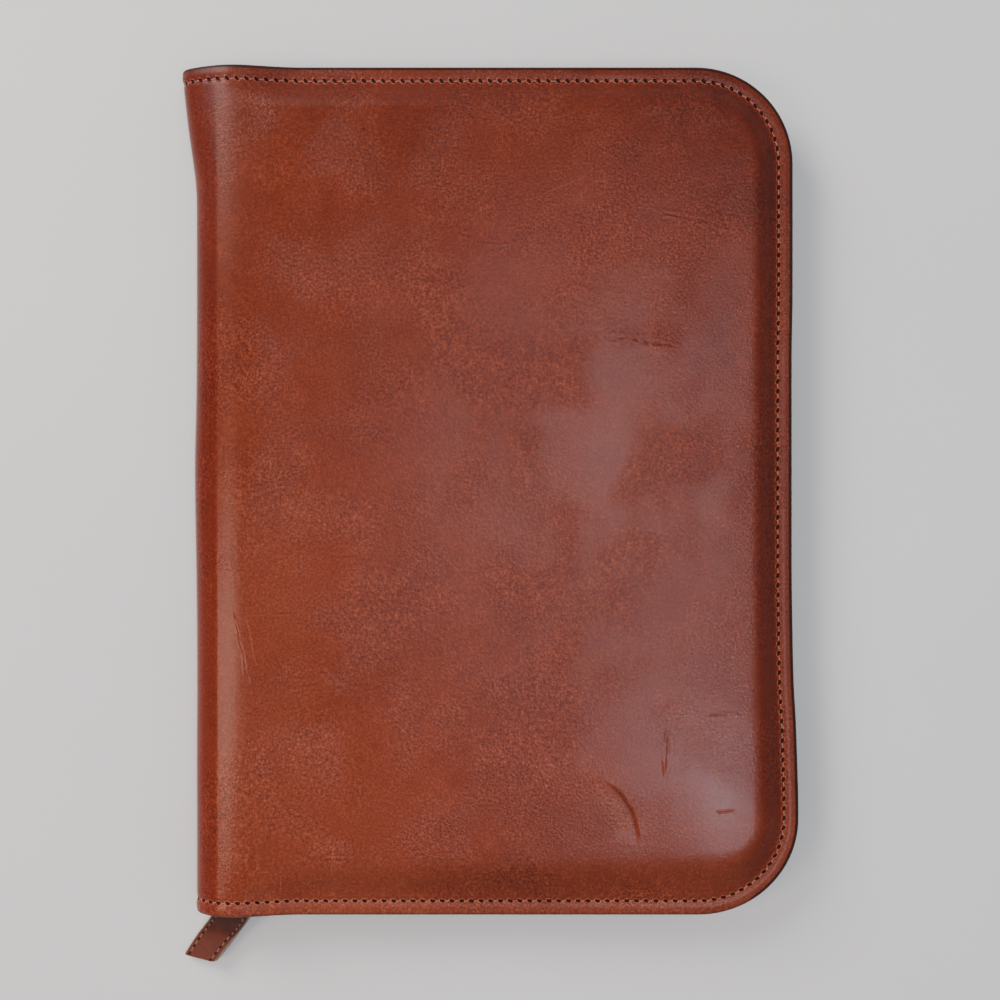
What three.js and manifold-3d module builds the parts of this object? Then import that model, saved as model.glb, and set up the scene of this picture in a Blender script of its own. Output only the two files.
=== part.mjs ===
import * as THREE from 'three';
import { mergeVertices } from 'three/addons/utils/BufferGeometryUtils.js';
import Module from 'manifold-3d';

// A zip-around leather document case, zipped shut and lying on its back cover.
// Millimetres. +X points to the zip side, +Y to the head, +Z out of the front cover.
// The origin is on the surface under the middle of the back cover.

// The hide: one piece of leather round front cover, spine and back cover
const caseWidth = 247;
const caseHeight = 350;
const caseThickness = 28;
const cornerRadius = 40;
const hideWall = 3;
const edgeNose = 1.4;
const flangeWidth = 5.5;
const headClimb = 11;
const tailClimb = 16.5;
const panelRise = 5;
const panelCrown = 1.2;
const spineDepth = 11;
const spineLift = 34;
const headFlare = 5.2;
const zipSideBulge = 2.9;

// The zip: two cloth tapes, the chain of teeth between them, the slider and the stops
const seatGap = 0.35;
const runningGap = 0.3;
const tapeThickness = 1;
const tapeInset = 9.5;
const tapeLipInset = 2.6;
const tapeReach = 6;
const chainWidth = 5.6;
const chainThickness = 2.4;
const stopLength = 2.2;
const stopWall = 0.7;
const stopGrip = 0.6;
const headStopFromSpine = 17;
const sliderFromSpine = 18;
const sliderLength = 12;
const sliderMouth = 10.4;
const sliderTail = 8.8;
const sliderCorner = 1;
const sliderPlate = 1.2;
const sliderRail = 1;
const sliderNeckLength = 2.8;
const sliderNeckWidth = 1.8;
const bridgeThickness = 1.2;
const bridgeWidth = 1.6;
const bridgePost = 1.2;
const bridgeOpening = 8.4;

// The pull: a stitched double strap that a narrow loop holds to the slider's bridge. It is twisted a
// little, more at its root than at its tip, and its ends are cut on a slant
const strapRun = 33;
const strapRootRun = 1.8;
const strapWidth = 15.2;
const strapLayer = 1.5;
const strapLoopWidth = 3.2;
const strapHeading = 36;
const strapRootTwist = 30;
const strapTipTwist = 12;
const strapRootSlant = 36;
const strapTipSlant = 21;
const loopDepth = 5.2;
const loopHeight = 3;
const strapRest = 0.1;

// How finely the soft shapes are cut into facets
const runSteps = 11;
const runCrowding = 1.7;
const arcSteps = 6;
const sideSteps = 12;
const spineSteps = 12;
const edgeSteps = 3;
const loopSteps = 20;
const strapSteps = 22;

// Levels that follow from the sizes above
const shellHalf = (caseThickness - panelCrown) / 2;
const midPlane = shellHalf;
const zipEdgeX = caseWidth / 2;
const headY = caseHeight / 2;
const spineStart = spineDepth - caseWidth / 2;
const cornerX = zipEdgeX - cornerRadius;
const cornerY = headY - cornerRadius;
const tapeEdgeHalf = chainWidth / 2 + runningGap;
const chainInset = tapeInset + tapeThickness / 2;

// The climb from the flat stitched flange to the panel: share of its width, share of its rise
const climbProfile = [
  { at: 0, up: 0 },
  { at: 0.22, up: 0.16 },
  { at: 0.45, up: 0.56 },
  { at: 0.72, up: 0.89 },
  { at: 1, up: 1 },
];

// How far the spine stands out along its height: share of the height, share of the head's flare
const spineOutline = [
  { at: 0, out: 0 },
  { at: 0.35, out: 0 },
  { at: 0.54, out: 0.16 },
  { at: 0.7, out: 0 },
  { at: 0.86, out: 0 },
  { at: 0.93, out: 0.64 },
  { at: 1, out: 1 },
];

// How far the zip side is stretched out along its height: share of the height, share of the bulge
const zipSideOutline = [
  { at: 0, out: 1 },
  { at: 0.14, out: 0.97 },
  { at: 0.23, out: 0.62 },
  { at: 0.27, out: 0.28 },
  { at: 0.32, out: 0.14 },
  { at: 0.4, out: 0 },
  { at: 0.67, out: 0 },
  { at: 0.72, out: 0.14 },
  { at: 1, out: 0.14 },
];

// The pull from bridge to tip: share of its run, share of its drop to the surface, share of its width
const strapForm = [
  { at: 0, drop: 0, width: 0.96 },
  { at: 0.1, drop: 0.01, width: 0.98 },
  { at: 0.18, drop: 0.08, width: 1 },
  { at: 0.3, drop: 0.31, width: 1 },
  { at: 0.42, drop: 0.61, width: 0.98 },
  { at: 0.55, drop: 0.84, width: 0.95 },
  { at: 0.7, drop: 0.93, width: 0.91 },
  { at: 0.85, drop: 0.965, width: 0.88 },
  { at: 1, drop: 1, width: 0.85 },
];

// Reads one column of a table at a share between its rows
function readTable(rows, at, column) {
  const next = rows.findIndex((row) => row.at >= at);
  if (next === 0) return rows[0][column];
  if (next < 0) return rows[rows.length - 1][column];
  const low = rows[next - 1];
  const high = rows[next];
  return THREE.MathUtils.mapLinear(at, low.at, high.at, low[column], high[column]);
}

function heightShare(y) {
  return y / caseHeight + 0.5;
}

// The stretch of the leather at the zip side, which hide, tapes and chain all follow
function stretched(x, y, z) {
  const pull = Math.max(x / zipEdgeX, 0) ** 2;
  return new THREE.Vector3(x + zipSideBulge * readTable(zipSideOutline, heightShare(y), 'out') * pull, y, z);
}

// How far the flange is lifted to the panel's level beside the spine, from 0 to 1
function spineLiftShare(x) {
  return 1 - THREE.MathUtils.smoothstep((x - spineStart) / spineLift, 0, 1);
}

// Half the case's outer thickness at x, where the profile stands at the share up
function outerHalf(x, up) {
  const level = 1 - (1 - up) * (1 - spineLiftShare(x));
  return shellHalf - panelRise * (1 - level);
}

function crownHeight(x, y) {
  const across = (2 * x - spineStart - zipEdgeX) / (zipEdgeX - spineStart);
  const along = y / headY;
  return panelCrown * Math.max(1 - across ** 2, 0) * Math.max(1 - along ** 2, 0);
}

// Stations on the outline from the spine along the head to the end of the corner,
// each with the direction that points out of the case
function headStations() {
  const stations = [];
  for (let i = 0; i <= runSteps; i += 1) {
    const x = spineStart + (cornerX - spineStart) * (i / runSteps) ** runCrowding;
    stations.push({ x, y: headY, outX: 0, outY: 1 });
  }
  for (let i = 1; i <= arcSteps; i += 1) {
    const angle = (Math.PI / 2) * (1 - i / arcSteps);
    const outX = Math.cos(angle);
    const outY = Math.sin(angle);
    stations.push({ x: cornerX + cornerRadius * outX, y: cornerY + cornerRadius * outY, outX, outY });
  }
  return stations;
}

function mirrored(station) {
  return { ...station, y: -station.y, outY: -station.outY };
}

function insetPoint(station, inset) {
  return { x: station.x - station.outX * inset, y: station.y - station.outY * inset };
}

// Rows from the hide's edge to the panel: the flange's two, then those of the climb
function insetRows(climb) {
  const flange = [edgeNose, (edgeNose + flangeWidth) / 2].map((inset) => ({ inset, up: 0 }));
  return flange.concat(climbProfile.map((row) => ({ inset: flangeWidth + row.at * climb, up: row.up })));
}

// One line over the hide from the head's edge to the tail's, in plan
function planLine(station) {
  const edgeLine = (from, climb) => insetRows(climb)
    .map(({ inset, up }) => ({ ...insetPoint(from, inset), up }));
  const head = edgeLine(station, headClimb);
  const tail = edgeLine(mirrored(station), tailClimb);
  const start = head[head.length - 1];
  const end = tail[tail.length - 1];
  const inner = [];
  for (let k = 1; k < sideSteps; k += 1) {
    const t = k / sideSteps;
    const x = THREE.MathUtils.lerp(start.x, end.x, t);
    const y = THREE.MathUtils.lerp(start.y, end.y, t);
    inner.push({ x, y, up: 1 });
  }
  return [...head, ...inner, ...tail.reverse()];
}

function frontPoint({ x, y, up }) {
  return stretched(x, y, midPlane + outerHalf(x, up) + crownHeight(x, y) * up);
}

function backPoint({ x, y, up }) {
  return stretched(x, y, midPlane - outerHalf(x, up));
}

// The strip beside the zip side's straight edge, one row for each step down the side
function zipSideStrip(line, toPoint) {
  const edgeCount = insetRows(headClimb).length;
  const strip = [line.slice(0, edgeCount).map(toPoint)];
  for (let k = 1; k < sideSteps; k += 1) {
    const { y } = line[edgeCount - 1 + k];
    const climb = THREE.MathUtils.lerp(headClimb, tailClimb, k / sideSteps);
    strip.push(insetRows(climb).map((row) => toPoint({ x: zipEdgeX - row.inset, y, up: row.up })));
  }
  strip.push(line.slice(-edgeCount).reverse().map(toPoint));
  return strip;
}

function triangles(grid) {
  const corners = [];
  for (let i = 0; i + 1 < grid.length; i += 1) {
    for (let j = 0; j + 1 < grid[i].length; j += 1) {
      const [a, b, c, d] = [grid[i][j], grid[i][j + 1], grid[i + 1][j + 1], grid[i + 1][j]];
      corners.push(a, c, b, a, d, c);
    }
  }
  return corners;
}

// Turns a soup of corners into an indexed geometry whose triangles share their vertices
function shared(corners) {
  return mergeVertices(new THREE.BufferGeometry().setFromPoints(corners), 1e-4);
}

// A closed body from rows of vertex places and triangles, faced out by its own volume
function closedBody(points, faces) {
  let volume = 0;
  for (let i = 0; i < faces.length; i += 3) {
    const [a, b, c] = [points[faces[i]], points[faces[i + 1]], points[faces[i + 2]]];
    volume += a.dot(new THREE.Vector3().crossVectors(b, c));
  }
  const geometry = new THREE.BufferGeometry().setFromPoints(points);
  geometry.setIndex(volume > 0 ? faces : [...faces].reverse());
  return geometry;
}

// Gives an open sheet a wall on its inner side and a rounded edge all round
function thickened(sheet, wall, nose) {
  sheet.computeVertexNormals();
  const index = Array.from(sheet.index.array);
  const count = sheet.attributes.position.count;
  const place = (i) => new THREE.Vector3().fromBufferAttribute(sheet.attributes.position, i);
  const normal = (i) => new THREE.Vector3().fromBufferAttribute(sheet.attributes.normal, i);
  const points = [];
  for (let i = 0; i < count; i += 1) points.push(place(i));
  for (let i = 0; i < count; i += 1) points.push(place(i).addScaledVector(normal(i), -wall));
  const edges = new Set();
  for (let i = 0; i < index.length; i += 3) {
    const [a, b, c] = index.slice(i, i + 3);
    [[a, b], [b, c], [c, a]].forEach(([from, to]) => edges.add(`${from}>${to}`));
  }
  const after = new Map();
  const before = new Map();
  edges.forEach((edge) => {
    const [from, to] = edge.split('>').map(Number);
    if (edges.has(`${to}>${from}`)) return;
    after.set(from, to);
    before.set(to, from);
  });
  const rim = new Map();
  after.forEach((to, i) => {
    const along = place(to).sub(place(before.get(i))).normalize();
    const out = new THREE.Vector3().crossVectors(along, normal(i)).normalize();
    const row = [i];
    for (let k = 1; k <= edgeSteps; k += 1) {
      const angle = (Math.PI * k) / (edgeSteps + 1);
      const depth = (wall / 2) * (1 - Math.cos(angle));
      row.push(points.length);
      points.push(place(i).addScaledVector(normal(i), -depth).addScaledVector(out, nose * Math.sin(angle)));
    }
    row.push(i + count);
    rim.set(i, row);
  });
  const faces = [...index];
  for (let i = 0; i < index.length; i += 3) {
    faces.push(index[i + 2] + count, index[i + 1] + count, index[i] + count);
  }
  after.forEach((to, from) => {
    const [a, b] = [rim.get(from), rim.get(to)];
    for (let k = 0; k + 1 < a.length; k += 1) {
      faces.push(b[k], a[k], a[k + 1], b[k], a[k + 1], b[k + 1]);
    }
  });
  return closedBody(points, faces);
}

// The hide: front lines, lines round the spine and back lines, then the two strips at the zip side
function leatherWrap() {
  const lines = headStations().map(planLine);
  const spineLine = lines[0];
  const grid = [...lines].reverse().map((line) => line.map(frontPoint));
  for (let k = 1; k < spineSteps; k += 1) {
    const angle = (Math.PI * k) / spineSteps;
    grid.push(spineLine.map(({ y }) => {
      const depth = spineDepth + headFlare * readTable(spineOutline, heightShare(y), 'out');
      return new THREE.Vector3(
        spineStart - depth * Math.sin(angle),
        y,
        midPlane + shellHalf * Math.cos(angle),
      );
    }));
  }
  grid.push(...lines.map((line) => line.map(backPoint)));
  const lastLine = lines[lines.length - 1];
  const frontStrip = zipSideStrip(lastLine, frontPoint).map((row) => row.reverse());
  const backStrip = zipSideStrip(lastLine, backPoint);
  const sheet = shared([...triangles(grid), ...triangles(frontStrip), ...triangles(backStrip)]);
  return thickened(sheet, hideWall, edgeNose);
}

// Joins sections of equal point count into one closed body, as a ring or with fan caps
function swept(sections, ring = false) {
  const count = sections[0].length;
  const points = sections.flat();
  const faces = [];
  const last = ring ? sections.length : sections.length - 1;
  for (let i = 0; i < last; i += 1) {
    const near = i * count;
    const far = ((i + 1) % sections.length) * count;
    for (let j = 0; j < count; j += 1) {
      const k = (j + 1) % count;
      faces.push(near + j, far + j, far + k, near + j, far + k, near + k);
    }
  }
  if (!ring) {
    const end = last * count;
    for (let j = 1; j + 1 < count; j += 1) {
      faces.push(0, j, j + 1, end, end + j + 1, end + j);
    }
  }
  return closedBody(points, faces);
}

// The zip's route from the head beside the spine round the zip side to the tail beside the spine
function zipStations(headStart, tailEnd) {
  const head = headStations();
  const reach = [1, 2 / 3, 1 / 3].map((share) => ({ ...head[0], x: spineStart - tapeReach * share }));
  const headPart = [...reach, ...head];
  const side = [];
  for (let k = 1; k < sideSteps; k += 1) {
    side.push({ x: zipEdgeX, y: cornerY * (1 - (2 * k) / sideSteps), outX: 1, outY: 0 });
  }
  const cutTo = (part, x) => [{ ...part[0], x }, ...part.filter((station) => station.x > x)];
  const tailPart = cutTo(headPart, tailEnd).map(mirrored).reverse();
  return [...cutTo(headPart, headStart), ...side, ...tailPart];
}

// Half the clear height between the covers at x, where the tapes are sewn in
function seatHalf(x) {
  if (x >= spineStart) return outerHalf(x, 0) - hideWall - seatGap;
  const across = (spineStart - x) / (spineDepth - hideWall);
  return (shellHalf - hideWall) * Math.sqrt(1 - across ** 2) - 2 * seatGap;
}

function placed(station, inset, height) {
  const { x, y } = insetPoint(station, inset);
  return stretched(x, y, midPlane + height);
}

// One tape: a wall beside the chain, turned out into a lip under the hide's flange; side is 1 or -1
function zipTape(side) {
  const tapeEnd = spineStart - tapeReach;
  const sections = zipStations(tapeEnd, tapeEnd).map((station) => {
    const top = seatHalf(station.x);
    return [
      [tapeInset, top - tapeThickness],
      [tapeLipInset, top - tapeThickness],
      [tapeLipInset, top],
      [tapeInset + tapeThickness, top],
      [tapeInset + tapeThickness, tapeEdgeHalf],
      [tapeInset, tapeEdgeHalf],
    ].map(([inset, height]) => placed(station, inset, side * height));
  });
  return swept(sections);
}

const sliderX = sliderFromSpine - caseWidth / 2;
const neckFront = sliderX - sliderLength / 2 + sliderCorner + sliderNeckLength;
const headStopX = headStopFromSpine - caseWidth / 2;

function chain() {
  const start = headStopX + stopLength / 2 + runningGap;
  const sections = zipStations(start, neckFront + runningGap).map((station) => [
    [-1, -1],
    [1, -1],
    [1, 1],
    [-1, 1],
  ].map(([across, up]) => placed(
    station,
    chainInset + (across * chainThickness) / 2,
    (up * chainWidth) / 2,
  )));
  return swept(sections);
}

const wasm = await Module();
wasm.setup();

function solid(geometry) {
  const bare = geometry.clone();
  bare.deleteAttribute('normal');
  bare.deleteAttribute('uv');
  const merged = mergeVertices(bare, 1e-5);
  return new wasm.Manifold(new wasm.Mesh({
    numProp: 3,
    vertProperties: merged.attributes.position.array,
    triVerts: Uint32Array.from(merged.index.array),
  }));
}

function geometryOf(manifold) {
  const mesh = manifold.getMesh();
  const geometry = new THREE.BufferGeometry();
  geometry.setAttribute('position', new THREE.BufferAttribute(mesh.vertProperties.slice(), 3));
  geometry.setIndex(Array.from(mesh.triVerts));
  return geometry;
}

function joined(geometries) {
  return geometryOf(geometries.map(solid).reduce((sum, next) => sum.add(next)));
}

function shapeOf(pairs) {
  return new THREE.Shape(pairs.map(([across, up]) => new THREE.Vector2(across, up)));
}

// A block between two corners, given as lengths along the tail, insets from its edge and heights
// above the middle plane
function tailBlock(along, insets, heights) {
  const size = [along, insets, heights].map(([from, to]) => Math.abs(to - from));
  const block = new THREE.BoxGeometry(...size);
  const centre = [along, insets, heights].map(([from, to]) => (from + to) / 2);
  return block.translate(sliderX + centre[0], centre[1] - headY, midPlane + centre[2]);
}

// Distances of the slider's parts from the chain's middle, and of the bridge from the cover's edge
const channelHalf = chainThickness / 2 + runningGap;
const plateOuter = chainInset - channelHalf - sliderPlate;
const heading = THREE.MathUtils.degToRad(strapHeading);
const loopBack = loopDepth / 2 + strapLayer;
const loopSwing = loopBack * Math.cos(heading) + (strapLoopWidth / 2) * Math.sin(heading);
const bridgeInset = plateOuter - loopSwing - runningGap;

// The slider: two plates joined by a neck, rails that lap the chain, and a bridge for the pull
function zipSlider() {
  const half = sliderLength / 2;
  const edge = [
    [half, sliderTail / 2 - sliderCorner],
    [half - sliderCorner, sliderTail / 2],
    [half / 2, sliderTail / 2],
    [0, sliderMouth / 2],
    [sliderCorner - half, sliderMouth / 2],
    [-half, sliderMouth / 2 - sliderCorner],
  ];
  const outline = shapeOf([...edge, ...edge.map(([along, up]) => [along, -up]).reverse()]);
  const plateAt = (inset) => {
    const plate = new THREE.ExtrudeGeometry(outline, { depth: sliderPlate, bevelEnabled: false });
    return plate.rotateX(Math.PI / 2).translate(sliderX, inset + sliderPlate - headY, midPlane);
  };
  const parts = [plateAt(plateOuter), plateAt(chainInset + channelHalf)];
  const sink = sliderPlate / 2;
  const tapeClear = tapeThickness / 2 + runningGap;
  [-1, 1].forEach((side) => {
    const rail = [side * tapeEdgeHalf, side * (tapeEdgeHalf + sliderRail)];
    parts.push(
      tailBlock([0, half - sliderCorner], [chainInset - channelHalf - sink, chainInset - tapeClear], rail),
      tailBlock([0, half - sliderCorner], [chainInset + tapeClear, chainInset + channelHalf + sink], rail),
    );
    const post = [side * (bridgeOpening / 2), side * (bridgeOpening / 2 + bridgePost)];
    parts.push(tailBlock(
      post,
      [bridgeInset - bridgeThickness / 2, plateOuter + sink],
      [-bridgeWidth / 2, bridgeWidth / 2],
    ));
  });
  parts.push(tailBlock(
    [sliderCorner - half, sliderCorner - half + sliderNeckLength],
    [chainInset - channelHalf - sink, chainInset + channelHalf + sink],
    [-sliderNeckWidth / 2, sliderNeckWidth / 2],
  ));
  parts.push(tailBlock(
    [-bridgeOpening / 2 - bridgePost / 2, bridgeOpening / 2 + bridgePost / 2],
    [bridgeInset - bridgeThickness / 2, bridgeInset + bridgeThickness / 2],
    [-bridgeWidth / 2, bridgeWidth / 2],
  ));
  return joined(parts);
}

// A clip over one tape's edge, or over both where the chain starts; side is 1, -1 or 0 for both
function zipStop(x, y, side) {
  const web = tapeEdgeHalf - runningGap;
  const grip = tapeEdgeHalf + stopGrip;
  const slotHalf = tapeThickness / 2 + runningGap;
  const outer = slotHalf + stopWall;
  const arms = [
    [outer, grip],
    [slotHalf, grip],
    [slotHalf, web],
    [-slotHalf, web],
    [-slotHalf, grip],
    [-outer, grip],
  ];
  const back = [[-outer, web - stopWall], [outer, web - stopWall]];
  const profile = side === 0
    ? [...arms, ...arms.map(([across, up]) => [-across, -up])]
    : [...arms, ...back].map(([across, up]) => [across, side * up]);
  const clip = new THREE.ExtrudeGeometry(shapeOf(profile), { depth: stopLength, bevelEnabled: false });
  return clip.rotateX(Math.PI / 2).rotateZ(Math.PI / 2).translate(x - stopLength / 2, y, midPlane);
}

// The pull: its folded loop round the bridge, joined to the double strap that droops to the surface
function pullStrap() {
  const bridge = new THREE.Vector3(sliderX, bridgeInset - headY, midPlane);
  const forward = new THREE.Vector3(-Math.sin(heading), -Math.cos(heading), 0);
  const across = new THREE.Vector3(Math.cos(heading), -Math.sin(heading), 0);
  const up = new THREE.Vector3(0, 0, 1);
  const { degToRad, lerp } = THREE.MathUtils;
  const tipTwist = degToRad(strapTipTwist);
  const tipWidth = strapWidth * strapForm[strapForm.length - 1].width;
  const tipHeight = strapRest + strapLayer * Math.cos(tipTwist) + (tipWidth / 2) * Math.sin(tipTwist);
  const drop = midPlane - tipHeight;
  const rows = strapForm.map((row) => new THREE.Vector3(row.at * strapRun, 0, -row.drop * drop));
  const route = new THREE.CatmullRomCurve3(rows, false, 'centripetal');
  const toPlace = (run, height) => bridge.clone().addScaledVector(forward, run).addScaledVector(up, height);
  const section = (centre, sideways, facing) => [[-1, -1], [1, -1], [1, 1], [-1, 1]].map(
    ([side, face]) => centre.clone().addScaledVector(sideways, side).addScaledVector(facing, face),
  );
  const body = [];
  for (let i = 0; i <= strapSteps; i += 1) {
    const t = lerp(strapRootRun / strapRun, 1, i / strapSteps);
    const point = route.getPoint(t);
    const tangent = route.getTangent(t);
    const ahead = forward.clone().multiplyScalar(tangent.x).addScaledVector(up, tangent.z);
    const share = point.x / strapRun;
    const slant = Math.tan(degToRad(lerp(strapRootSlant, strapTipSlant, share)));
    const twist = degToRad(lerp(strapRootTwist, strapTipTwist, share));
    const sideways = across.clone().addScaledVector(forward, -slant).multiplyScalar(Math.cos(twist))
      .addScaledVector(up, Math.sin(twist))
      .multiplyScalar((strapWidth * readTable(strapForm, share, 'width')) / 2);
    const facing = new THREE.Vector3().crossVectors(ahead, sideways).setLength(strapLayer);
    body.push(section(toPlace(point.x, point.z), sideways, facing));
  }
  const loop = [];
  for (let i = 0; i < loopSteps; i += 1) {
    const angle = (2 * Math.PI * i) / loopSteps;
    const squared = (value) => Math.sign(value) * Math.abs(value) ** (2 / 3);
    const run = ((loopDepth + strapLayer) / 2) * squared(Math.cos(angle));
    const height = ((loopHeight + strapLayer) / 2) * squared(Math.sin(angle));
    const facing = forward.clone().multiplyScalar(Math.cos(angle)).addScaledVector(up, Math.sin(angle));
    const sideways = across.clone().multiplyScalar(strapLoopWidth / 2);
    loop.push(section(toPlace(run, height), sideways, facing.multiplyScalar(strapLayer / 2)));
  }
  return joined([swept(loop, true), swept(body)]);
}

const leather = new THREE.MeshStandardMaterial({ color: 0x7e3b29, roughness: 0.42, metalness: 0 });
const strapLeather = new THREE.MeshStandardMaterial({ color: 0x5b2517, roughness: 0.45, metalness: 0 });
const cloth = new THREE.MeshStandardMaterial({ color: 0x3a241b, roughness: 0.9, metalness: 0 });
const brass = new THREE.MeshStandardMaterial({ color: 0x9a7b45, roughness: 0.35, metalness: 1 });

const documentCase = new THREE.Group();

function add(name, geometry, material) {
  const mesh = new THREE.Mesh(geometry, material);
  mesh.name = name;
  documentCase.add(mesh);
}

const tailStopX = sliderX - sliderLength / 2 - runningGap - stopLength / 2;

add('leather_wrap', leatherWrap(), leather);
add('zip_tape_front', zipTape(1), cloth);
add('zip_tape_back', zipTape(-1), cloth);
add('zip_teeth', chain(), brass);
add('zip_slider', zipSlider(), brass);
add('zip_stop_head', zipStop(headStopX, headY - chainInset, 0), brass);
add('zip_stop_tail_front', zipStop(tailStopX, chainInset - headY, 1), brass);
add('zip_stop_tail_back', zipStop(tailStopX, chainInset - headY, -1), brass);
add('pull_strap', pullStrap(), strapLeather);

export default documentCase;
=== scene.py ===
import math

import bmesh
import bpy
import numpy as np
from mathutils import Matrix, Vector


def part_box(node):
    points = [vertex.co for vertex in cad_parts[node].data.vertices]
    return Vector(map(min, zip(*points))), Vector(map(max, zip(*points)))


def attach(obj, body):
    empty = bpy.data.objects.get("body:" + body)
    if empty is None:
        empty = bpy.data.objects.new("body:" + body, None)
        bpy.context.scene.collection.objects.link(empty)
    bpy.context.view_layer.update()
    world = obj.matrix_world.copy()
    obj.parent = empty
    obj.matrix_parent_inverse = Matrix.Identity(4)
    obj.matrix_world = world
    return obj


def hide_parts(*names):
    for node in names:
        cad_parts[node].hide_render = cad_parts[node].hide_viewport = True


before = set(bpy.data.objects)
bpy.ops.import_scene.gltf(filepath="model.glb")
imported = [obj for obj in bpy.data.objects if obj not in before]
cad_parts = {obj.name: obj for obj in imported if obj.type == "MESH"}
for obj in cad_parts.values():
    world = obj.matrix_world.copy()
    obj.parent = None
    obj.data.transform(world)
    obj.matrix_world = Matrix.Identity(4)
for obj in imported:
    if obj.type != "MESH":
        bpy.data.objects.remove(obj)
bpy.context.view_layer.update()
MM = 0.001

# The case's sizes in millimetres, as the solids have them
WIDTH = 247.0
HEIGHT = 350.0
SHELL_HALF = 13.4
CORNER = 40.0
WALL = 3.0
NOSE = 1.4
FLANGE = 6.9
HEAD_CLIMB = 9.5
SIDE_CLIMB = 9.4
TAIL_CLIMB = 16.5
PANEL_RISE = 5.0
CROWN = 1.2
SPINE_DEPTH = 11.0
SPINE_LIFT = 34.0
HEAD_FLARE = 5.2
ZIP_BULGE = 2.9
SPINE_X = SPINE_DEPTH - WIDTH / 2
CORNER_X = WIDTH / 2 - CORNER
CORNER_Y = HEIGHT / 2 - CORNER
MID = SHELL_HALF

# The seam: saddle stitches a little inside the hide's edge
SEAM_INSET = 6.1
STITCH_PITCH = 4.0
HOLE_LENGTH = 1.9
HOLE_WIDTH = 1.15
HOLE_LEAN = math.radians(14)
HOLE_LEAN_AT_HEAD = math.radians(28)
SEAM_SINK = 0.32
PILLOW_INSET = 3.6
PILLOW_RISE = 0.24

# The spine's face leaves the covers at an edge, and the covers slope a little towards it
SPINE_EDGE = 0.5
SHOULDER = 13.5
SHOULDER_DROP = 1.5

# The zip behind the flanges
CHAIN_INSET = 10.0
CHAIN_HALF = 2.8
TOOTH_PITCH = 2.5
CHAIN_START = 18.4
CHAIN_END = 16.0

# The pull, from the slider's bridge to its tip on the surface, twisted and cut on a slant
PULL_RUN = 31.8
PULL_ROOT = 1.8
PULL_WIDTH = 15.2
PULL_LAYER = 1.5
PULL_LOOP_WIDTH = 3.2
PULL_LOOP = (3.35, 2.25)
PULL_LOOP_STEPS = 28
PULL_HEADING = math.radians(36)
PULL_TWIST = (math.radians(32), math.radians(20))
PULL_SLANT = (math.radians(36), math.radians(28))
PULL_REST = 0.1
PULL_SEAM = 2.0
PULL_PITCH = 3.6
PULL_CORNER = 1.0

# The photograph's view: square to the front cover, its middle a little left of and above the frame's
CAMERA_HEIGHT = 622.0
CAMERA_AIM = (2.9, -3.7)
VIEW_WIDTH = 411.8
VIEW_DISTANCE = 600.0
SENSOR = 36.0

# How finely the hide is divided: along the head, round a corner, down a cover, round the spine and its rim
RUN_STEPS = 112
ARC_STEPS = 26
ROW_STEPS = 150
SPINE_STEPS = 32
RIM_STEPS = 5
FAR_INSET = 60.0

# Where the slope's rows lie, and tables of shares: where on the way, and how far
CLIMB_ROWS = np.array([0.0, 0.08, 0.18, 0.3, 0.42, 0.56, 0.72, 0.86, 0.98, 1.1, 1.24, 1.4])
CLIMB = ((0, 0.22, 0.45, 0.72, 1), (0, 0.16, 0.56, 0.89, 1))
SPINE_OUTLINE = ((0, 0.35, 0.54, 0.7, 0.86, 0.93, 1), (0, 0, 0.16, 0, 0, 0.72, 1.2))
ZIP_OUTLINE = (
    (0, 0.14, 0.23, 0.27, 0.32, 0.4, 0.67, 0.72, 1),
    (1, 0.97, 0.62, 0.28, 0.14, 0, 0, 0.14, 0.14),
)
PULL_STATIONS = (0, 0.1, 0.18, 0.3, 0.42, 0.55, 0.7, 0.85, 1)
PULL_DROPS = (0, 0.01, 0.08, 0.31, 0.61, 0.84, 0.93, 0.965, 1)
PULL_WIDTHS = (0.97, 0.99, 1.01, 1.02, 1.01, 0.98, 0.95, 0.91, 0.86)


def put_camera():
    """The photograph's camera, which looks straight down on the front cover."""
    data = bpy.data.cameras.new("camera")
    data.sensor_width = SENSOR
    data.lens = SENSOR * VIEW_DISTANCE / VIEW_WIDTH
    camera = bpy.data.objects.new("camera", data)
    camera.location = (CAMERA_AIM[0] * MM, CAMERA_AIM[1] * MM, CAMERA_HEIGHT * MM)
    bpy.context.scene.collection.objects.link(camera)
    bpy.context.scene.camera = camera


class Field:
    """A socket in a node tree, with arithmetic that adds Math nodes."""

    def __init__(self, graph, socket):
        self.graph = graph
        self.socket = socket

    def math(self, operation, *others, clamp=False):
        values = dict(enumerate((self, *others)))
        return self.graph.node("ShaderNodeMath", {"operation": operation, "use_clamp": clamp}, values)

    def __add__(self, other):
        return self.math("ADD", other)

    def __radd__(self, other):
        return self.math("ADD", other)

    def __sub__(self, other):
        return self.math("SUBTRACT", other)

    def __rsub__(self, other):
        return self.graph.node("ShaderNodeMath", {"operation": "SUBTRACT"}, {0: other, 1: self})

    def __mul__(self, other):
        return self.math("MULTIPLY", other)

    def __rmul__(self, other):
        return self.math("MULTIPLY", other)

    def __truediv__(self, other):
        return self.math("DIVIDE", other)

    def clamped(self):
        return self.math("MULTIPLY", 1.0, clamp=True)

    def root(self):
        return self.math("SQRT")

    def step(self, low, high):
        """0 below low, 1 above high and smooth between; with low above high it falls instead."""
        rising = low <= high
        ends = {1: min(low, high), 2: max(low, high), 3: float(not rising), 4: float(rising)}
        return self.graph.node("ShaderNodeMapRange", {"interpolation_type": "SMOOTHSTEP"}, {0: self, **ends})


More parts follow.
